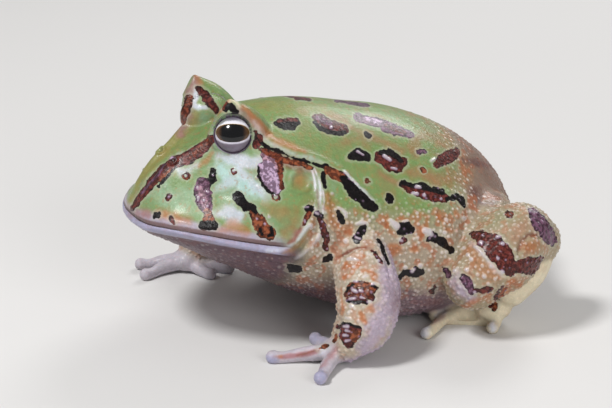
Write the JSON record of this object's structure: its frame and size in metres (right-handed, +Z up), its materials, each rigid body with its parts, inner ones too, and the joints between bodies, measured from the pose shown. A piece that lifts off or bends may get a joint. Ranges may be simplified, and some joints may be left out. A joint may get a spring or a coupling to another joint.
{
  "type": "fantasy horned frog",
  "caption": "Life-size still model of a squat horned frog sitting with its front raised on its arms, wide mouth shut, soft horns over the eyes, green back and warty sides.",
  "frame": {"origin": "middle of the base of the frog's box, on the floor that its belly, hands and feet rest on", "axes": "+Z up; the snout points along -Y; the frog's own left side is at +X"},
  "size_m": [0.086, 0.0944, 0.056],
  "materials": {
    "green_back": "moist skin, satin",
    "warty_side": "moist skin with small warts, satin",
    "pale_underside": "moist skin, satin",
    "horn_brown": "moist skin, satin",
    "eye_gloss": "wet gloss"
  },
  "bodies": {
    "root": {"torso": "green_back", "head": "green_back", "lower_jaw": "pale_underside", "eye_left": "eye_gloss", "horn_left": "horn_brown", "upper_arm_left": "warty_side", "forearm_left": "warty_side", "thigh_left": "warty_side", "shank_left": "warty_side", "hand_left": "pale_underside", "foot_left": "pale_underside", "eye_right": "eye_gloss", "horn_right": "horn_brown", "upper_arm_right": "warty_side", "forearm_right": "warty_side", "thigh_right": "warty_side", "shank_right": "warty_side", "hand_right": "pale_underside", "foot_right": "pale_underside"}
  },
  "joints": []
}
